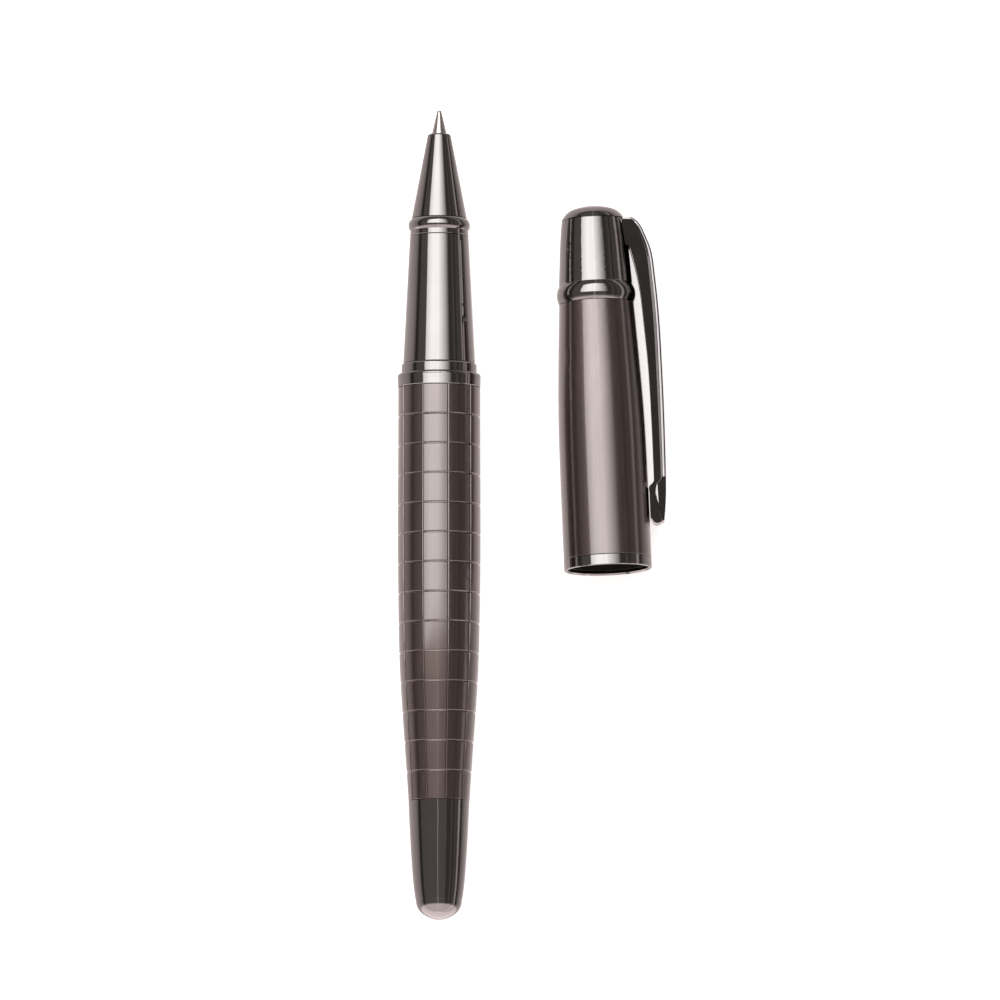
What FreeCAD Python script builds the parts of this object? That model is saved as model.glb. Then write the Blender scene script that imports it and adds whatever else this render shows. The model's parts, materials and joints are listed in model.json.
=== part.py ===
import FreeCAD, Part
import os
import re
import Sketcher

# An open rollerball pen and its cap, lying side by side on a flat surface.
# Millimetres. +Z is up and +Y is the pen's long axis, with the writing tip toward +Y.
# Every turned piece is drawn as a half outline: X is the radius and Y the place along its axis.
# Pen places count from the front face of the barrel's trim ring, cap places from the cap's mouth.

SIZES = {
    # where the pen and the cap lie
    "pen_x": -14.246, "pen_y": 21.5, "pen_z": 6.432,
    "cap_x": 11.754, "cap_y": -8.8, "cap_z": 7.333,
    "cap_yaw": 2.4, "cap_tilt": -1.66, "groove_turn": -4.7,
    # barrel
    "ring_r": 6.42, "ring_back": -2.0, "barrel_front": -2.06, "barrel_end": -65.84,
    "barrel_r": 6.36, "barrel_end_r": 4.69, "insert_r": 5.3, "insert_end": -12.0,
    "groove_count": 10, "groove_r": 0.2, "groove_rise": 0.08,
    "hoop_first": -6.6, "hoop_pitch": 4.575, "hoop_count": 13,
    # tail
    "tail_front": -65.88, "tail_end": -84.15, "tail_bore_r": 3.3, "tail_floor": -80.2,
    "spigot_r": 3.9, "seat_top": -78.2, "post_top": -70.5,
    "spring_r": 2.45, "wire_r": 0.28, "spring_start": -77.85, "spring_pitch": 1.35, "spring_length": 8.1,
    # screw thread between section and barrel
    "thread_pitch": 0.8, "thread_core_r": 4.0, "thread_bore_r": 4.5, "thread_height": 0.38,
    "male_start": -7.5, "male_length": 4.8, "female_start": -8.7, "female_length": 5.6,
    "thread_foot": 0.56, "thread_flank": 0.23,
    # section and nose
    "collar_r": 5.8, "section_back": 1.64, "section_back_r": 5.54,
    "section_front": 21.5, "section_front_r": 4.51, "bead_r": 4.745,
    "nose_back": 24.25, "nose_back_r": 4.25, "nose_front": 37.44, "tip_bore_r": 1.15, "seat_y": 34.02,
    # refill
    "refill_r": 3.05, "refill_back": -68.0, "refill_front": 19.0, "tip_r": 1.1,
    "ball_r": 0.25, "ball_y": 40.9, "socket_r": 0.275,
    # cap
    "mouth_r": 6.77, "mouth_bore_r": 6.24, "mouth_height": 1.62, "liner_r": 6.2,
    "tube_end": 41.38, "tube_end_r": 5.79, "cap_bead_r": 6.09,
    "crown_back": 44.27, "crown_back_r": 5.7, "crown_top": 54.4, "crown_top_r": 4.86,
    "finial_base": 54.47, "cap_top": 56.65, "screw_r": 0.9,
    # clip
    "hinge_x": 5.85, "hinge_y": 53.5, "knuckle_r": 0.42, "clip_half_width": 2.1,
    "clip_wall_half_width": 2.7, "channel_half_width": 1, "strip_round_r": 0.25,
    "washer_bottom": 53.22, "washer_thick": 0.6, "wall_foot": 3.1, "wall_top": 1,
    "shoulder_y": 13.9, "slope_start": 1.79, "slope_end": 1.17,
}

os.makedirs("parts", exist_ok=True)
doc = FreeCAD.newDocument("rollerball_pen")
sheet = doc.addObject("Spreadsheet::Sheet", "sizes")
for row, (name, number) in enumerate(SIZES.items(), 1):
    sheet.set("A%d" % row, name)
    sheet.set("B%d" % row, str(number))
    sheet.setAlias("B%d" % row, name)
doc.recompute()


def value(text):
    """The number that a sum such as 'ring_r - 0.1' comes to."""
    total = 0.0
    for sign, term in re.findall(r"([+-]?)\s*([\w.]+)", text):
        number = SIZES[term] if term in SIZES else float(term)
        total += -number if sign == "-" else number
    return total


def bound(text):
    """The same sum, reading its names from the sheet."""
    return re.sub(r"[a-z]\w*", lambda found: "sizes." + found.group(), text)


def origin_part(body, role):
    return next(item for item in body.Origin.OriginFeatures if item.Role == role)


def place(item, group):
    """Stand an item in the pen's place or in the cap's."""
    for letter in "xyz":
        item.setExpression("Placement.Base." + letter, "sizes.%s_%s" % (group, letter))
    if group == "cap":
        item.setExpression("Placement.Rotation.Yaw", "sizes.cap_yaw")
        item.setExpression("Placement.Rotation.Roll", "sizes.cap_tilt")


def new_body(label, group):
    body = doc.addObject("PartDesign::Body", label)
    body.Label = label
    place(body, group)
    return body


def add_loop(sketch, corners):
    """Draw one closed loop. A corner is (x, y), or (x, y, [points]) where the edge that leaves it is
    an arc through one point or a smooth curve through several."""
    first = len(sketch.Geometry)
    count = len(corners)
    spots = [FreeCAD.Vector(value(c[0]), value(c[1]), 0) for c in corners]
    starts = []
    for i, corner in enumerate(corners):
        start = spots[i]
        end = spots[(i + 1) % count]
        through = [FreeCAD.Vector(value(a), value(b), 0) for a, b in corner[2]] if len(corner) > 2 else []
        starts.append(1)
        if not through:
            edge = Part.LineSegment(start, end)
        elif len(through) > 1:
            edge = Part.BSplineCurve()
            edge.interpolate([start] + through + [end])
        elif (through[0] - start).cross(end - through[0]).z > 0:
            edge = Part.Arc(start, through[0], end)
        else:
            # a sketch keeps every arc anticlockwise, so this one is drawn from its other end
            edge = Part.Arc(end, through[0], start)
            starts[i] = 2
        sketch.addGeometry(edge, False)
    for i, corner in enumerate(corners):
        after = (i + 1) % count
        join = Sketcher.Constraint("Coincident", first + i, 3 - starts[i], first + after, starts[after])
        sketch.addConstraint(join)
        for kind, axis, text in (("DistanceX", -2, corner[0]), ("DistanceY", -1, corner[1])):
            if value(text) == 0:
                sketch.addConstraint(Sketcher.Constraint("PointOnObject", first + i, starts[i], axis))
                continue
            index = sketch.addConstraint(Sketcher.Constraint(kind, first + i, starts[i], value(text)))
            if re.search("[a-z]", text):
                sketch.setExpression("Constraints[%d]" % index, bound(text))


def outline(body, name, loops, role="XY_Plane"):
    sketch = body.newObject("Sketcher::SketchObject", body.Label + "_" + name)
    sketch.AttachmentSupport = [(origin_part(body, role), "")]
    sketch.MapMode = "FlatFace"
    for loop in loops:
        add_loop(sketch, loop)
    sketch.Visibility = False
    return sketch


def turn(body, name, corners, cut=False):
    """Turn a half outline about the body's Y axis, as new material or as a groove."""
    sketch = outline(body, name, corners if isinstance(corners[0], list) else [corners])
    kind = "PartDesign::Groove" if cut else "PartDesign::Revolution"
    feature = body.newObject(kind, body.Label + "_" + name + "_turned")
    feature.Profile = sketch
    feature.ReferenceAxis = (sketch, ["V_Axis"])
    feature.Angle = 360
    return feature


def turned(label, group, corners):
    body = new_body(label, group)
    turn(body, "outline", corners)
    return body


def slab(body, name, loops, half_width, cut=True, role="XY_Plane"):
    """Cut, or add, an outline that runs the same way to both sides of its plane."""
    sketch = outline(body, name, loops, role)
    kind = "PartDesign::Pocket" if cut else "PartDesign::Pad"
    feature = body.newObject(kind, body.Label + "_" + name + "_slab")
    feature.Profile = sketch
    feature.Midplane = True
    feature.Length = 2 * value(half_width)
    if re.search("[a-z]", half_width):
        feature.setExpression("Length", "2 * (%s)" % bound(half_width))
    return feature


def around(body, feature, count, count_name=None):
    """Repeat a feature evenly around the body's Y axis."""
    pattern = body.newObject("PartDesign::PolarPattern", feature.Name + "_around")
    pattern.Originals = [feature]
    pattern.Axis = (origin_part(body, "Y_Axis"), [""])
    pattern.Angle = 360
    pattern.Occurrences = count
    if count_name:
        pattern.setExpression("Occurrences", "sizes." + count_name)
    body.Tip = pattern
    return pattern


def ridge(body, name, corners, pitch, length):
    """Wind a small outline into a right-hand helix about the body's Y axis."""
    sketch = outline(body, name, [corners])
    helix = body.newObject("PartDesign::AdditiveHelix", body.Label + "_" + name + "_helix")
    helix.Profile = sketch
    helix.ReferenceAxis = (sketch, ["V_Axis"])
    helix.Mode = "pitch-height-angle"
    helix.setExpression("Pitch", "sizes." + pitch)
    helix.setExpression("Height", "sizes." + length)
    return helix


def round_edges(body, name, size, wanted):
    """Round the edges of a body whose middle point and length are as wanted."""
    uncut = body.Tip
    chosen = []
    for number, edge in enumerate(uncut.Shape.Edges, 1):
        middle = edge.valueAt((edge.FirstParameter + edge.LastParameter) / 2)
        if wanted(middle, edge.Length):
            chosen.append("Edge%d" % number)
    feature = body.newObject("PartDesign::Fillet", body.Label + "_" + name)
    feature.Base = (uncut, chosen)
    feature.setExpression("Radius", "sizes." + size)
    doc.recompute()


# ---------------------------------------------------------------- barrel

turned("barrel_trim_ring", "pen", [
    ("4.6", "0"),
    ("ring_r - 0.16", "0", [("ring_r - 0.04", "-0.12")]),
    ("ring_r", "-0.4"),
    ("ring_r - 0.06", "ring_back + 0.06"),
    ("ring_r - 0.12", "ring_back"),
    ("5.6", "ring_back"),
    ("5.6", "-5"),
    ("insert_r + 0.02", "-5"),
    ("insert_r + 0.02", "-1"),
    ("4.6", "-1"),
])

insert = turned("barrel_thread_insert", "pen", [
    ("thread_bore_r", "-1.02"),
    ("insert_r", "-1.02"),
    ("insert_r", "insert_end"),
    ("3.35", "insert_end"),
    ("3.35", "-9.6"),
    ("thread_bore_r", "-9.6"),
])
ridge(insert, "thread", [
    ("thread_bore_r + 0.1", "female_start"),
    ("thread_bore_r - thread_height", "female_start + thread_flank"),
    ("thread_bore_r - thread_height", "female_start + thread_foot - thread_flank"),
    ("thread_bore_r + 0.1", "female_start + thread_foot"),
], "thread_pitch", "female_length")

# The barrel is straight for its first half, then bends over into a long taper.
barrel_points = [
    ("barrel_r - 0.05", "barrel_front - 0.06"),
    ("barrel_r - 0.02", "-15"),
    ("barrel_r", "-27"),
    ("barrel_r - 0.13", "-37.5"),
    ("barrel_r - 0.31", "-44.9"),
    ("barrel_r - 0.71", "-51.8"),
    ("barrel_r - 1.22", "-59"),
    ("barrel_end_r", "barrel_end + 0.06"),
]
barrel_curve = Part.BSplineCurve()
barrel_curve.interpolate([FreeCAD.Vector(value(a), value(b), 0) for a, b in barrel_points])


def barrel_radius(y):
    level = Part.Line(FreeCAD.Vector(0, y, 0), FreeCAD.Vector(1, y, 0))
    return barrel_curve.intersectCC(level)[0].X


barrel = turned("barrel_tube", "pen", [
    ("5.62", "barrel_front"),
    ("barrel_r - 0.11", "barrel_front"),
    barrel_points[0] + (barrel_points[1:-1],),
    barrel_points[-1],
    ("barrel_end_r - 0.06", "barrel_end"),
    ("spigot_r + 0.02", "barrel_end"),
    ("spigot_r + 0.02", "-58"),
    ("4.9", "-42"),
    ("4.9", "insert_end - 0.2"),
    ("insert_r + 0.02", "insert_end - 0.2"),
    ("insert_r + 0.02", "-5.1"),
    ("5.62", "-5.1"),
])
barrel.setExpression("Placement.Rotation.Pitch", "sizes.groove_turn")

# The grid is engraved with a round-nosed cutter: rings around the barrel and lines along it.
line_top = value(barrel_points[0][1])
line_bottom = value(barrel_points[-1][1])
steps = 12
line_points = [FreeCAD.Vector(value(barrel_points[0][0]), SIZES["barrel_front"] + 1, 0)]
for i in range(steps + 1):
    y = line_top - 0.01 + (line_bottom - line_top + 0.02) * i / steps
    line_points.append(FreeCAD.Vector(barrel_radius(y), y, 0))
line_points.append(FreeCAD.Vector(value(barrel_points[-1][0]) - 0.05, SIZES["barrel_end"] - 1, 0))
for point in line_points:
    point.x += SIZES["groove_rise"]
line_curve = Part.BSplineCurve()
line_curve.interpolate(line_points)
path = barrel.newObject("Sketcher::SketchObject", "barrel_tube_line_path")
path.AttachmentSupport = [(origin_part(barrel, "XY_Plane"), "")]
path.MapMode = "FlatFace"
path.addGeometry(line_curve, False)
path.Visibility = False
cutter = barrel.newObject("Sketcher::SketchObject", "barrel_tube_line_cutter")
cutter.AttachmentSupport = [(origin_part(barrel, "XZ_Plane"), "")]
cutter.MapMode = "FlatFace"
cutter.AttachmentOffset = FreeCAD.Placement(FreeCAD.Vector(0, 0, -line_points[0].y), FreeCAD.Rotation())
cutter.addGeometry(Part.Circle(FreeCAD.Vector(line_points[0].x, 0, 0), FreeCAD.Vector(0, 0, 1),
                               SIZES["groove_r"]), False)
index = cutter.addConstraint(Sketcher.Constraint("Radius", 0, SIZES["groove_r"]))
cutter.setExpression("Constraints[%d]" % index, "sizes.groove_r")
cutter.Visibility = False
line = barrel.newObject("PartDesign::SubtractivePipe", "barrel_tube_line")
line.Profile = cutter
line.Spine = path
doc.recompute()
around(barrel, line, 10, "groove_count")

hoops = []
for i in range(int(SIZES["hoop_count"])):
    middle = SIZES["hoop_first"] - i * SIZES["hoop_pitch"]
    centre = barrel_radius(middle) + SIZES["groove_rise"]
    hoops.append([
        ("%.4f - groove_r" % centre, "%.4f" % middle, [("%.4f" % centre, "%.4f + groove_r" % middle)]),
        ("%.4f + groove_r" % centre, "%.4f" % middle, [("%.4f" % centre, "%.4f - groove_r" % middle)]),
    ])
turn(barrel, "hoops", hoops, cut=True)

# ---------------------------------------------------------------- tail

turned("tail_cap", "pen", [
    ("barrel_end_r - 0.07", "tail_front"),
    ("barrel_end_r - 0.01", "tail_front - 0.06", [
        ("4.46", "-70.8"), ("4.17", "-75.6"), ("3.88", "-79"), ("3.7", "-80.4")]),
    ("3.53", "-81.3", [("3.12", "-82.62")]),
    ("2.3", "-83.42", [("1.2", "tail_end + 0.2")]),
    ("0.25", "tail_end"),
    ("0", "tail_end"),
    ("0", "tail_floor"),
    ("tail_bore_r", "tail_floor"),
    ("tail_bore_r", "-61"),
    ("spigot_r", "-61"),
    ("spigot_r", "tail_front"),
])

turned("spring_seat", "pen", [
    ("0", "tail_floor + 0.02"),
    ("tail_bore_r - 0.03", "tail_floor + 0.02"),
    ("tail_bore_r - 0.03", "seat_top"),
    ("1.6", "seat_top"),
    ("1.6", "post_top - 0.4"),
    ("1.2", "post_top"),
    ("0", "post_top"),
])

spring = new_body("refill_spring", "pen")
coil_outline = spring.newObject("Sketcher::SketchObject", "refill_spring_wire")
coil_outline.AttachmentSupport = [(origin_part(spring, "XY_Plane"), "")]
coil_outline.MapMode = "FlatFace"
coil_middle = FreeCAD.Vector(SIZES["spring_r"], SIZES["spring_start"], 0)
coil_outline.addGeometry(Part.Circle(coil_middle, FreeCAD.Vector(0, 0, 1), SIZES["wire_r"]), False)
for kind, name in (("DistanceX", "spring_r"), ("DistanceY", "spring_start")):
    index = coil_outline.addConstraint(Sketcher.Constraint(kind, 0, 3, SIZES[name]))
    coil_outline.setExpression("Constraints[%d]" % index, "sizes." + name)
index = coil_outline.addConstraint(Sketcher.Constraint("Radius", 0, SIZES["wire_r"]))
coil_outline.setExpression("Constraints[%d]" % index, "sizes.wire_r")
coil = spring.newObject("PartDesign::AdditiveHelix", "refill_spring_coil")
coil.Profile = coil_outline
coil.ReferenceAxis = (coil_outline, ["V_Axis"])
coil.Mode = "pitch-height-angle"
coil.setExpression("Pitch", "sizes.spring_pitch")
coil.setExpression("Height", "sizes.spring_length")

# ---------------------------------------------------------------- section

turned("section_collar", "pen", [
    ("4.1", "0.06"),
    ("collar_r - 0.08", "0.06"),
    ("collar_r", "0.14"),
    ("collar_r", "section_back - 0.2"),
    ("collar_r - 0.12", "section_back - 0.08"),
    ("4.1", "section_back - 0.08"),
])

turned("section_body", "pen", [
    ("4.02", "section_back"),
    ("section_back_r - 0.08", "section_back"),
    ("section_back_r", "section_back + 0.08"),
    ("section_front_r", "section_front - 0.08"),
    ("section_front_r - 0.08", "section_front"),
    ("3.62", "section_front"),
    ("3.62", "15.1"),
    ("4.02", "15.1"),
])

sleeve = turned("section_thread_sleeve", "pen", [
    ("3.25", "-9"),
    ("thread_core_r - 0.2", "-9"),
    ("thread_core_r", "-8.8"),
    ("thread_core_r", "15.08"),
    ("3.25", "15.08"),
])
ridge(sleeve, "thread", [
    ("thread_core_r - 0.1", "male_start"),
    ("thread_core_r + thread_height", "male_start + thread_flank"),
    ("thread_core_r + thread_height", "male_start + thread_foot - thread_flank"),
    ("thread_core_r - 0.1", "male_start + thread_foot"),
], "thread_pitch", "male_length")

turned("nose_bead_ring", "pen", [
    ("3.62", "section_front + 0.02"),
    ("section_front_r - 0.08", "section_front + 0.02"),
    ("section_front_r - 0.01", "section_front + 0.1"),
    ("section_front_r - 0.05", "22.33", [("bead_r", "23.26")]),
    ("nose_back_r - 0.02", "nose_back - 0.05"),
    ("3.62", "nose_back - 0.05"),
])

turned("nose_cone", "pen", [
    ("tip_bore_r", "seat_y"),
    ("tip_bore_r", "nose_front"),
    ("1.45", "nose_front", [("1.71", "nose_front - 0.12")]),
    ("1.82", "nose_front - 0.42"),
    ("nose_back_r", "nose_back + 0.04"),
    ("nose_back_r - 0.04", "nose_back"),
    ("3.6", "nose_back"),
    ("3.6", "17"),
    ("3.15", "17"),
    ("3.15", "20.2"),
    ("2.5", "20.2"),
    ("2.5", "27.2"),
    ("1.85", "31.2"),
    ("1.85", "seat_y"),
])

# ---------------------------------------------------------------- refill

turned("refill_tube", "pen", [
    ("2.65", "refill_back"),
    ("refill_r", "refill_back"),
    ("refill_r", "refill_front"),
    ("2.65", "refill_front"),
])

turned("refill_nose", "pen", [
    ("0.62", "14"),
    ("2.62", "14"),
    ("2.62", "refill_front + 0.02"),
    ("refill_r", "refill_front + 0.02"),
    ("refill_r", "20"),
    ("2.4", "20"),
    ("2.4", "27"),
    ("1.75", "31"),
    ("1.75", "34"),
    ("tip_r + 0.02", "34"),
    ("tip_r + 0.02", "31"),
    ("0.62", "31"),
])

turned("refill_tip", "pen", [
    ("0.55", "31.02"),
    ("tip_r", "31.02"),
    ("tip_r", "37.75"),
    ("0.34", "ball_y"),
    ("0.27", "ball_y + 0.165"),
    ("0.22", "ball_y + 0.165", [("socket_r", "ball_y")]),
    ("0.12", "ball_y - 0.2474"),
    ("0.12", "36.6"),
    ("0.55", "36.6"),
])

ball = doc.addObject("Part::Sphere", "refill_ball")
ball.Label = "refill_ball"
ball.setExpression("Radius", "sizes.ball_r")
place(ball, "pen")
ball.setExpression("Placement.Base.y", "sizes.pen_y + sizes.ball_y")

turned("refill_feed", "pen", [
    ("0", "4.5"),
    ("0.5", "4.5"),
    ("0.5", "36.2"),
    ("0.1", "36.55"),
    ("0", "36.55"),
])

turned("refill_reservoir", "pen", [
    ("0", "-62"),
    ("2.6", "-62"),
    ("2.6", "13"),
    ("0.54", "13"),
    ("0.54", "4.4"),
    ("0", "4.4"),
])

turned("refill_end_plug", "pen", [
    ("0.3", "-69.4"),
    ("refill_r - 0.2", "-69.4"),
    ("refill_r", "-69.2"),
    ("refill_r", "refill_back - 0.02"),
    ("2.62", "refill_back - 0.02"),
    ("2.62", "-63.5"),
    ("0.3", "-63.5"),
])

# ---------------------------------------------------------------- cap

turned("cap_mouth_ring", "cap", [
    ("mouth_bore_r + 0.2", "0"),
    ("mouth_r - 0.08", "0"),
    ("mouth_r", "0.08"),
    ("mouth_r", "mouth_height - 0.06"),
    ("mouth_r - 0.06", "mouth_height"),
    ("6.44", "mouth_height"),
    ("6.44", "3.6"),
    ("mouth_bore_r", "3.6"),
    ("mouth_bore_r", "0.25"),
])

turned("cap_tube", "cap", [
    ("6.46", "mouth_height + 0.02"),
    ("mouth_r - 0.06", "mouth_height + 0.02"),
    ("mouth_r", "mouth_height + 0.08", [
        ("mouth_r", "9"), ("mouth_r - 0.02", "16"), ("mouth_r - 0.1", "22.8"),
        ("mouth_r - 0.37", "30.2"), ("mouth_r - 0.76", "37.4")]),
    ("tube_end_r", "tube_end - 0.06"),
    ("tube_end_r - 0.06", "tube_end"),
    ("tube_end_r - 0.5", "tube_end", [
        ("mouth_bore_r - 0.73", "37.4"), ("mouth_bore_r - 0.36", "30.2"),
        ("mouth_bore_r - 0.1", "22.8"), ("mouth_bore_r - 0.02", "16")]),
    ("mouth_bore_r", "9"),
    ("mouth_bore_r", "3.7"),
    ("6.46", "3.7"),
])

liner = turned("cap_liner", "cap", [
    ("5.95", "0.75"),
    ("liner_r", "0.75"),
    ("liner_r", "9"),
    ("liner_r - 0.06", "16"),
    ("5.95", "24"),
    ("5.2", "26"),
    ("5.2", "44.1"),
    ("4.6", "44.1"),
    ("4.6", "44.9"),
    ("screw_r + 0.03", "44.9"),
    ("screw_r + 0.03", "43.9"),
    ("2.6", "43.9"),
    ("2.6", "33.5"),
    ("4.9", "25.5"),
    ("4.9", "22.1"),
    ("4.68", "21.8"),
    ("4.68", "21.4"),
    ("5", "20.8"),
    ("5.9", "4"),
    ("5.95", "4"),
])
finger_slot = slab(liner, "finger_slot", [[
    ("4", "12"), ("7", "12"), ("7", "24.5"), ("4", "24.5"),
]], "0.4")
doc.recompute()
around(liner, finger_slot, 6)

turned("cap_bead_ring", "cap", [
    ("5.25", "41.42"),
    ("5.77", "41.42", [("cap_bead_r", "42.6")]),
    ("crown_back_r - 0.04", "crown_back - 0.04"),
    ("5.25", "crown_back - 0.04"),
])

crown = turned("cap_crown", "cap", [
    ("4.75", "crown_back"),
    ("crown_back_r - 0.08", "crown_back"),
    ("crown_back_r", "crown_back + 0.08", [("5.52", "46.9"), ("5.28", "50.3")]),
    ("crown_top_r", "crown_top - 0.06"),
    ("crown_top_r - 0.06", "crown_top"),
    ("4.55", "crown_top"),
    ("4.55", "washer_bottom - 0.02"),
    ("1.55", "washer_bottom - 0.02"),
    ("1.55", "52.3"),
    ("4.1", "52.3"),
])
slab(crown, "clip_notch", [[
    ("3.8", "washer_bottom - 0.4"), ("6", "washer_bottom - 0.4"), ("6", "55"), ("3.8", "55"),
]], "channel_half_width")

turned("cap_spacer", "cap", [
    ("screw_r + 0.03", "44.92"),
    ("3.95", "44.92"),
    ("3.95", "52.28"),
    ("1.58", "52.28"),
    ("1.58", "49.9"),
    ("screw_r + 0.03", "49.9"),
])

turned("cap_finial", "cap", [
    ("0", "54"),
    ("screw_r + 0.02", "54"),
    ("screw_r + 0.02", "50"),
    ("1.5", "50"),
    ("1.5", "washer_bottom + washer_thick + 0.02"),
    ("4.5", "washer_bottom + washer_thick + 0.02"),
    ("4.5", "finial_base"),
    ("4.76", "finial_base"),
    ("4.83", "finial_base + 0.07", [("4.44", "55.2")]),
    ("3.6", "55.93", [("2", "56.43")]),
    ("0.25", "cap_top"),
    ("0", "cap_top"),
])

screw = turned("cap_screw", "cap", [
    ("0", "42.8"),
    ("1.8", "42.8"),
    ("2", "43"),
    ("2", "43.88"),
    ("screw_r", "43.88"),
    ("screw_r", "53.7"),
    ("screw_r - 0.2", "53.9"),
    ("0", "53.9"),
])
slab(screw, "driver_slot", [[
    ("-3", "42"), ("3", "42"), ("3", "43.3"), ("-3", "43.3"),
]], "0.25")

# ---------------------------------------------------------------- clip

anchor = turned("clip_anchor", "cap", [
    ("1.55", "washer_bottom"),
    ("4.5", "washer_bottom"),
    ("4.5", "washer_bottom + washer_thick"),
    ("1.55", "washer_bottom + washer_thick"),
])
slab(anchor, "tab", [[
    ("4", "washer_bottom"),
    ("hinge_x", "hinge_y - knuckle_r", [("hinge_x + knuckle_r", "hinge_y")]),
    ("hinge_x", "hinge_y + knuckle_r"),
    ("5.4", "washer_bottom + washer_thick"),
    ("4", "washer_bottom + washer_thick"),
]], "channel_half_width - 0.1", cut=False)

# The arm is a folded strip: a narrow channel with a wider, rounded strip over its outer side.
arm = new_body("clip_arm", "cap")
slab(arm, "outer_strip", [[
    ("3.5", "54.42"),
    ("6", "54.42", [
        ("6.8", "53.8"), ("7.94", "51.6"), ("8.64", "49.6"), ("9.11", "46"), ("9.44", "41"),
        ("9.64", "33"), ("9.66", "24"), ("9.54", "15.5"), ("9.24", "9.4")]),
    ("9", "7.5", [("8.89", "7.15")]),
    ("8.65", "7.1", [("8.31", "8.43"), ("8.05", "9.31"), ("7.82", "10.3")]),
    ("7.65", "11.3", [("7.73", "12.1"), ("7.97", "12.8"), ("8.49", "13.3")]),
    ("8.88", "shoulder_y", [
        ("8.91", "16"), ("8.97", "24"), ("8.98", "33"), ("8.81", "41"), ("8.49", "46"),
        ("8.07", "49.3"), ("7.42", "51.3"), ("6.6", "53")]),
    ("6", "53.6"),
    ("3.5", "53.6"),
]], "clip_half_width", cut=False)
slab(arm, "taper", [
    [("56", "clip_half_width"), ("6", "1.7"), ("6", "3"), ("56", "3")],
    [("56", "-clip_half_width"), ("6", "-1.7"), ("6", "-3"), ("56", "-3")],
], "12", role="YZ_Plane")
doc.recompute()
# Only the long edges down the strip's sides, the foot's lip among them, are rounded.
round_edges(arm, "strip_rounds", "strip_round_r", lambda middle, length: (
    length > 2.9 and middle.x > 7 and abs(middle.z) > 1.5))
# Below the shoulder of the foot the strip's sides slope away toward its outer edge.
slab(arm, "foot_slope", [
    [("8", "slope_start"), ("10", "slope_end"), ("10", "3"), ("8", "3")],
    [("8", "-slope_start"), ("10", "-slope_end"), ("10", "-3"), ("8", "-3")],
], "shoulder_y", role="XZ_Plane")
# The channel's walls lean inward toward the strip. They are cut as a body of their own, in the arm's
# coordinates, and then joined to the strip.
walls = doc.addObject("PartDesign::Body", "clip_arm_walls")
slab(walls, "side", [[
    ("3.5", "54.1"),
    ("6", "54.1", [
        ("6.6", "53.5"), ("7.64", "51.4"), ("8.29", "49.5"), ("8.75", "46"), ("9.07", "41"),
        ("9.29", "33"), ("9.3", "24"), ("9.19", "15.5")]),
    ("8.91", "9.4"),
    ("8.7", "7.4", [("8.55", "7")]),
    ("8.15", "6.78", [("7.7", "6.75")]),
    ("7.3", "6.95"),
    ("6.84", "7.7"),
    ("6.84", "11.9", [("6.92", "12.5"), ("7.37", "12.95")]),
    ("7.61", "13.6", [
        ("7.67", "19"), ("7.64", "25"), ("7.49", "32"), ("7.04", "39.3"), ("6.76", "43"),
        ("6.4", "45.5"), ("5.9", "48")]),
    ("5.42", "49.9"),
    ("3.5", "50.5"),
]], "clip_wall_half_width", cut=False)
slab(walls, "draft", [
    [("3", "wall_foot"), ("10", "wall_top"), ("10", "4"), ("3", "4")],
    [("3", "-wall_foot"), ("10", "-wall_top"), ("10", "-4"), ("3", "-4")],
], "60", role="XZ_Plane")
doc.recompute()
join = arm.newObject("PartDesign::Boolean", "clip_arm_join")
join.Type = "Fuse"
join.Group = [walls]
arm.Tip = join
slab(arm, "channel", [[
    ("3", "hinge_y + 0.52"),
    ("hinge_x", "hinge_y + 0.52", [("6.2177", "53.8677")]),
    ("hinge_x + 0.52", "hinge_y", [
        ("7.41", "51.2"), ("8.05", "49.3"), ("8.55", "46"), ("8.87", "41"), ("9.07", "33"),
        ("9.09", "24")]),
    ("9.01", "16"),
    ("6.5", "16"),
    ("6", "40"),
    ("3", "49"),
]], "channel_half_width")
turn(arm, "crown_room", [
    ("0", "43"), ("5.85", "43"), ("crown_back_r + 0.14", "44.3", [("5.66", "46.9"), ("5.42", "50.3")]),
    ("crown_top_r + 0.12", "crown_top"), ("crown_top_r + 0.12", "56"), ("0", "56"),
], cut=True)

# ---------------------------------------------------------------- check and write

doc.recompute()
pieces = [item for item in doc.Objects if item.TypeId in ("PartDesign::Body", "Part::Sphere")]
pieces.remove(walls)
for item in doc.Objects:
    if "Invalid" in item.State or "Error" in item.State:
        raise RuntimeError("%s could not be made: %s" % (item.Name, item.State))
for item in pieces:
    if item.Shape.isNull() or not item.Shape.isValid() or len(item.Shape.Solids) != 1:
        raise RuntimeError("%s is not one valid solid" % item.Label)
for item in pieces:
    item.Shape.exportStep("parts/%s.step" % item.Label)
    box = item.Shape.BoundBox
    print("%-24s volume %9.3f  x %7.3f %7.3f  y %8.3f %8.3f  z %7.3f %7.3f" % (
        item.Label, item.Shape.Volume, box.XMin, box.XMax, box.YMin, box.YMax, box.ZMin, box.ZMax))
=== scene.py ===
import json
import math

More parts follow.
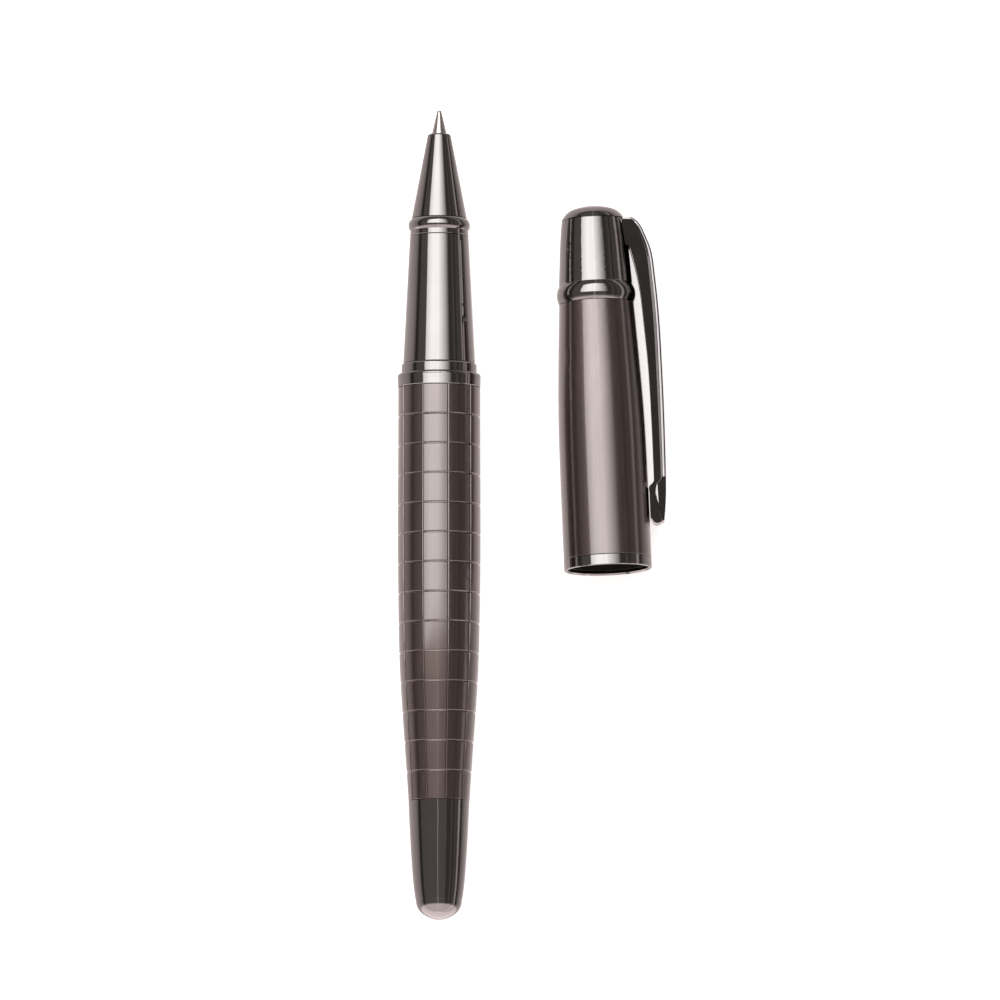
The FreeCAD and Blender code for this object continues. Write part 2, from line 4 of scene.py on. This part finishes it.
import bpy
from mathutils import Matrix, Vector

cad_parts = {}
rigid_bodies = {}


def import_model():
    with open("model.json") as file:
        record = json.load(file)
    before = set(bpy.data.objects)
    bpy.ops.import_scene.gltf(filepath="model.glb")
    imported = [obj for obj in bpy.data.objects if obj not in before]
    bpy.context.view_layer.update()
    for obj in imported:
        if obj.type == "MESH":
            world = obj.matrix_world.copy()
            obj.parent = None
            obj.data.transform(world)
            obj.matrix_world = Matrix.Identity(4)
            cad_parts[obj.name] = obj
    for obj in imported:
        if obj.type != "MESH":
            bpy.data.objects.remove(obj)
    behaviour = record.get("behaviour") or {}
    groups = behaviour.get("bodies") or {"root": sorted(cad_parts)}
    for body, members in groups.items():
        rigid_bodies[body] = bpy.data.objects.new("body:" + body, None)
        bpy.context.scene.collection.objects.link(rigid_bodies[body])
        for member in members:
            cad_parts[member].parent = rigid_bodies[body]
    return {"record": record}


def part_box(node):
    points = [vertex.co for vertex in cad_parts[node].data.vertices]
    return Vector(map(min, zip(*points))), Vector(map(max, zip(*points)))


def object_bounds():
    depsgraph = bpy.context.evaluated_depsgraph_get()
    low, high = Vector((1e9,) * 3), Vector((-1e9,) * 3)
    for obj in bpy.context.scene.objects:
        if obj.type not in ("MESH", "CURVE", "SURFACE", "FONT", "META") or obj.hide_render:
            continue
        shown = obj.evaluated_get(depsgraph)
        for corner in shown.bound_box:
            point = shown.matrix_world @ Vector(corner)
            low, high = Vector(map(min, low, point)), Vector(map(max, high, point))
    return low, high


# An open gunmetal rollerball pen beside its cap, on a pale floor, seen from almost straight above.
# Metres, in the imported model's own frame: +Z up, +Y toward the writing tip, +X toward the cap.

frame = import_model()
cad_low, cad_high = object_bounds()

PEN_LOW, PEN_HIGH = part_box("barrel_tube")
PEN_X = (PEN_LOW[0] + PEN_HIGH[0]) / 2
PEN_Z = (PEN_LOW[2] + PEN_HIGH[2]) / 2

CAMERA_HEIGHT_ANGLE = math.radians(83.6)
CAMERA_DISTANCE = 1.9
CAMERA_REACH = 20
VIEW_WIDTH = 0.1539
# The view's middle, to the right of the pen's axis and toward the tip from the frame's origin.
VIEW_RIGHT_OF_PEN = 0.00938
VIEW_ALONG = 0.0021
SENSOR_MM = 36.0

SOFTBOX_HEIGHT = 0.75
SOFTBOX_LEFT = math.radians(-45)
SOFTBOX_RIGHT = math.radians(33)
SOFTBOX_NEAR = 0.03
SOFTBOX_FAR = 0.95
SOFTBOX_RADIANCE = 3.2
# The softbox's brightness from its left edge to its right edge.
SOFTBOX_FADE = [
    (0, 0.62), (0.16, 0.8), (0.32, 1), (0.46, 1), (0.6, 0.89), (0.76, 0.52), (0.93, 0.14), (1, 0.04)]

FLOOR_WIDTH = 6
FLOOR_GLOW = 0.62

# The room's tint: a warm grey.
ROOM_TINT = (1, 0.88, 0.86)
# The room's grey by the angle in degrees from straight up round the pen's long axis, negative to the left.
ROOM_ACROSS = [
    (-180, 0.9), (-130, 0.85), (-108, 0.7), (-97, 0.55), (-89, 0.35), (-84, 0.07), (-76, 0.07), (-71, 0.20),
    (-46, 0.22), (-7, 0.22), (-4, 0.8), (-1, 0.22), (27, 0.22), (33, 0.10), (45, 0.11), (53, 0.20),
    (58, 0.07), (66, 0.17), (78, 0.14), (84, 0.8), (88, 0.8), (91, 0.08), (99, 0.10), (106, 0.35),
    (120, 0.60), (139, 0.8), (180, 0.9)]
# The grey added toward the tail, by how far a direction leans along the pen: -1 points straight that way.
ROOM_ALONG = [(-1, 1.2), (-0.5, 1.2), (-0.42, 0.3), (-0.3, 0), (1, 0)]

# Where the colour sockets of Blender's mix node are.
MIX_FIRST = 6
MIX_SECOND = 7
MIX_RESULT = 2


# ---------------------------------------------------------------- materials

class Nodes:
    """A material's node tree, with short calls to add and join nodes."""

    def __init__(self, name):
        self.material = bpy.data.materials.new(name)
        self.material.use_nodes = True
        self.tree = self.material.node_tree
        self.shader = self.tree.nodes["Principled BSDF"]
        self.coords = self.tree.nodes.new("ShaderNodeTexCoord")

    def add(self, kind, inputs=None, **settings):
        node = self.tree.nodes.new(kind)
        for key, setting in settings.items():
            setattr(node, key, setting)
        for key, given in (inputs or {}).items():
            if isinstance(given, bpy.types.NodeSocket):
                self.tree.links.new(given, node.inputs[key])
            else:
                node.inputs[key].default_value = given
        return node

    def set(self, **inputs):
        for key, given in inputs.items():
            socket = self.shader.inputs[key.replace("_", " ")]
            if isinstance(given, bpy.types.NodeSocket):
                self.tree.links.new(given, socket)
            else:
                socket.default_value = given

    def spots(self, scale, stretch=(1, 1, 1), detail=3.0):
        """Noise over the object, finer with scale and drawn out where stretch is small."""
        mapping = self.add("ShaderNodeMapping", {"Vector": self.coords.outputs["Object"], "Scale": stretch})
        noise = self.add("ShaderNodeTexNoise", {"Vector": mapping.outputs["Vector"], "Scale": scale,
                                                "Detail": detail})
        return noise.outputs["Fac"]

    def spread(self, value, low, high, from_low=0.3, from_high=0.7):
        node = self.add("ShaderNodeMapRange", {"Value": value, "From Min": from_low, "From Max": from_high,
                                               "To Min": low, "To Max": high})
        return node.outputs["Result"]

    def between(self, factor, first, second):
        node = self.add("ShaderNodeMix", {"Factor": factor}, data_type="RGBA")
        node.inputs[MIX_FIRST].default_value = (*first, 1)
        node.inputs[MIX_SECOND].default_value = (*second, 1)
        return node.outputs[MIX_RESULT]

    def bump(self, height, strength, distance):
        node = self.add("ShaderNodeBump", {"Height": height, "Strength": strength, "Distance": distance})
        return node.outputs["Normal"]


def polished_gunmetal():
    m = Nodes("polished_gunmetal")
    haze = m.spots(420, detail=4.0)
    clouds = m.spots(90)
    scratches = m.spots(2600, stretch=(1, 0.06, 1), detail=2.0)
    m.set(Metallic=1.0,
          Base_Color=m.between(m.spread(clouds, 0, 1), (0.262, 0.246, 0.248), (0.292, 0.276, 0.278)),
          Roughness=m.spread(haze, 0.045, 0.085),
          Normal=m.bump(scratches, 0.04, 0.00001))
    return m.material


def satin_gunmetal():
    """Satin plating, brushed along the pen, under a clear lacquer that keeps a sharp sheen."""
    m = Nodes("satin_gunmetal")
    brushing = m.spots(4200, stretch=(1, 0.012, 1), detail=3.0)
    clouds = m.spots(70)
    m.set(Metallic=1.0,
          Base_Color=m.between(m.spread(clouds, 0, 1), (0.126, 0.094, 0.086), (0.142, 0.107, 0.098)),
          Roughness=m.spread(brushing, 0.33, 0.42),
          Normal=m.bump(brushing, 0.10, 0.00001),
          Coat_Weight=1.0,
          Coat_Roughness=0.09,
          Coat_IOR=1.9)
    return m.material


def nickel_silver():
    m = Nodes("nickel_silver")
    turning = m.spots(9000, stretch=(0.05, 1, 0.05), detail=2.0)
    m.set(Metallic=1.0,
          Base_Color=m.between(m.spread(turning, 0, 1), (0.50, 0.46, 0.44), (0.58, 0.54, 0.52)),
          Roughness=m.spread(turning, 0.24, 0.32),
          Normal=m.bump(turning, 0.12, 0.000008))
    return m.material


def tungsten_carbide():
    m = Nodes("tungsten_carbide")
    grain = m.spots(30000, detail=2.0)
    m.set(Metallic=1.0,
          Base_Color=m.between(m.spread(grain, 0, 1), (0.28, 0.28, 0.29), (0.36, 0.36, 0.37)),
          Roughness=m.spread(grain, 0.18, 0.28))
    return m.material


def turned_brass():
    m = Nodes("turned_brass")
    turning = m.spots(7000, stretch=(0.05, 1, 0.05), detail=2.0)
    m.set(Metallic=1.0,
          Base_Color=m.between(m.spread(turning, 0, 1), (0.58, 0.40, 0.16), (0.70, 0.51, 0.23)),
          Roughness=m.spread(turning, 0.22, 0.34),
          Normal=m.bump(turning, 0.2, 0.00001))
    return m.material


def black_plastic():
    m = Nodes("black_plastic")
    grain = m.spots(3800, detail=3.0)
    m.set(Base_Color=m.between(m.spread(grain, 0, 1), (0.010, 0.009, 0.009), (0.018, 0.016, 0.016)),
          Roughness=m.spread(grain, 0.45, 0.58),
          Specular_IOR_Level=0.25,
          Normal=m.bump(grain, 0.15, 0.00001))
    return m.material


def spring_steel():
    m = Nodes("spring_steel")
    drawing = m.spots(6000, detail=2.0)
    m.set(Metallic=1.0,
          Base_Color=m.between(m.spread(drawing, 0, 1), (0.48, 0.48, 0.49), (0.58, 0.58, 0.59)),
          Roughness=m.spread(drawing, 0.2, 0.3))
    return m.material


def refill_grey():
    m = Nodes("refill_grey")
    clouds = m.spots(500)
    m.set(Base_Color=m.between(m.spread(clouds, 0, 1), (0.34, 0.34, 0.35), (0.40, 0.40, 0.41)),
          Roughness=m.spread(clouds, 0.26, 0.36))
    return m.material


def ink_fibre():
    m = Nodes("ink_fibre")
    strands = m.spots(9000, stretch=(1, 0.04, 1), detail=3.0)
    m.set(Base_Color=m.between(m.spread(strands, 0, 1), (0.008, 0.010, 0.03), (0.03, 0.035, 0.08)),
          Roughness=m.spread(strands, 0.6, 0.85),
          Normal=m.bump(strands, 0.4, 0.00002))
    return m.material


MATERIALS = {
    "polished_gunmetal": polished_gunmetal,
    "satin_gunmetal": satin_gunmetal,
    "nickel_silver": nickel_silver,
    "carbide": tungsten_carbide,
    "brass": turned_brass,
    "black_plastic": black_plastic,
    "spring_steel": spring_steel,
    "refill_grey": refill_grey,
    "ink_fibre": ink_fibre,
}


def dress_nodes():
    """Give each CAD node the detailed material of its slot in the record."""
    made = {slot: make() for slot, make in MATERIALS.items()}
    for part in frame["record"]["subparts"]:
        piece = bpy.data.objects[part["node"]]
        for holder in piece.material_slots:
            holder.material = made[part["material_slot"]]


# ---------------------------------------------------------------- studio

def floor():
    """A pale floor that looks white. The metal doesn't mirror it, and shows the room's lower half instead."""
    bpy.ops.mesh.primitive_plane_add(size=FLOOR_WIDTH, location=(0, 0, cad_low[2]))
    plane = bpy.context.object
    plane.name = "floor"
    plane.visible_glossy = False
    m = Nodes("pale_floor")
    tooth = m.spots(300, detail=4.0)
    m.set(Base_Color=m.between(m.spread(tooth, 0, 1), (0.90, 0.90, 0.90), (0.92, 0.92, 0.92)),
          Roughness=0.9,
          Emission_Color=(1, 1, 1, 1),
          Emission_Strength=FLOOR_GLOW)
    plane.data.materials.append(m.material)


def ramp(tree, source, stops):
    """Colours between stops, each a place from 0 to 1 and a colour."""
    node = tree.nodes.new("ShaderNodeValToRGB")
    tree.links.new(source, node.inputs["Fac"])
    elements = node.color_ramp.elements
    while len(elements) < len(stops):
        elements.new(0.5)
    for element, (place, color) in zip(elements, stops):
        element.position = place
        element.color = color
    return node.outputs["Color"]


def softbox():
    """One long softbox overhead, fading to the right, which gives each round piece its bright band."""
    left = SOFTBOX_HEIGHT * math.tan(SOFTBOX_LEFT)
    right = SOFTBOX_HEIGHT * math.tan(SOFTBOX_RIGHT)
    light = bpy.data.lights.new("softbox", "AREA")
    light.shape = "RECTANGLE"
    light.size = right - left
    light.size_y = SOFTBOX_FAR - SOFTBOX_NEAR
    light.energy = SOFTBOX_RADIANCE * math.pi * light.size * light.size_y
    light.use_nodes = True
    tree = light.node_tree
    place = tree.nodes.new("ShaderNodeNewGeometry")
    split = tree.nodes.new("ShaderNodeSeparateXYZ")
    tree.links.new(place.outputs["Parametric"], split.inputs["Vector"])
    fade = ramp(tree, split.outputs["X"], [(across, (grey, grey, grey, 1)) for across, grey in SOFTBOX_FADE])
    tree.links.new(fade, tree.nodes["Emission"].inputs["Strength"])
    lamp = bpy.data.objects.new("softbox", light)
    lamp.location = ((left + right) / 2, (SOFTBOX_FAR + SOFTBOX_NEAR) / 2, SOFTBOX_HEIGHT)
    lamp.visible_camera = False
    bpy.context.scene.collection.objects.link(lamp)


def surroundings():
    """A dim room that the metal shows, with light and dark strips, pale low down and at the tail."""
    world = bpy.data.worlds.new("room")
    world.use_nodes = True
    bpy.context.scene.world = world
    tree = world.node_tree
    coords = tree.nodes.new("ShaderNodeTexCoord")
    split = tree.nodes.new("ShaderNodeSeparateXYZ")
    tree.links.new(coords.outputs["Generated"], split.inputs["Vector"])
    turn = tree.nodes.new("ShaderNodeMath")
    turn.operation = "ARCTAN2"
    tree.links.new(split.outputs["X"], turn.inputs[0])
    tree.links.new(split.outputs["Z"], turn.inputs[1])

    def greys(source, low, high, stops):
        """The room's colour by a number from low to high, which the first and last stops stand for."""
        scaled = tree.nodes.new("ShaderNodeMapRange")
        scaled.inputs["From Min"].default_value = low
        scaled.inputs["From Max"].default_value = high
        tree.links.new(source, scaled.inputs["Value"])
        first, last = stops[0][0], stops[-1][0]
        return ramp(tree, scaled.outputs["Result"], [
            ((place - first) / (last - first), (*[grey * part for part in ROOM_TINT], 1))
            for place, grey in stops])

    across = greys(turn.outputs["Value"], -math.pi, math.pi, ROOM_ACROSS)
    along = greys(split.outputs["Y"], -1, 1, ROOM_ALONG)
    total = tree.nodes.new("ShaderNodeMix")
    total.data_type = "RGBA"
    total.blend_type = "ADD"
    total.inputs["Factor"].default_value = 1.0
    tree.links.new(across, total.inputs[MIX_FIRST])
    tree.links.new(along, total.inputs[MIX_SECOND])
    tree.links.new(total.outputs[MIX_RESULT], tree.nodes["Background"].inputs["Color"])


def camera():
    look_at = Vector((PEN_X + VIEW_RIGHT_OF_PEN, VIEW_ALONG, PEN_Z))
    data = bpy.data.cameras.new("camera")
    data.sensor_width = SENSOR_MM
    data.lens = SENSOR_MM * CAMERA_DISTANCE / VIEW_WIDTH
    data.clip_end = CAMERA_REACH
    eye = bpy.data.objects.new("camera", data)
    back = Vector((0, -math.cos(CAMERA_HEIGHT_ANGLE), math.sin(CAMERA_HEIGHT_ANGLE)))
    eye.location = look_at + back * CAMERA_DISTANCE
    eye.rotation_euler = (-back).to_track_quat("-Z", "Y").to_euler()
    bpy.context.scene.collection.objects.link(eye)
    bpy.context.scene.camera = eye


bpy.context.scene.view_settings.view_transform = "Standard"
camera()
dress_nodes()
floor()
softbox()
surroundings()
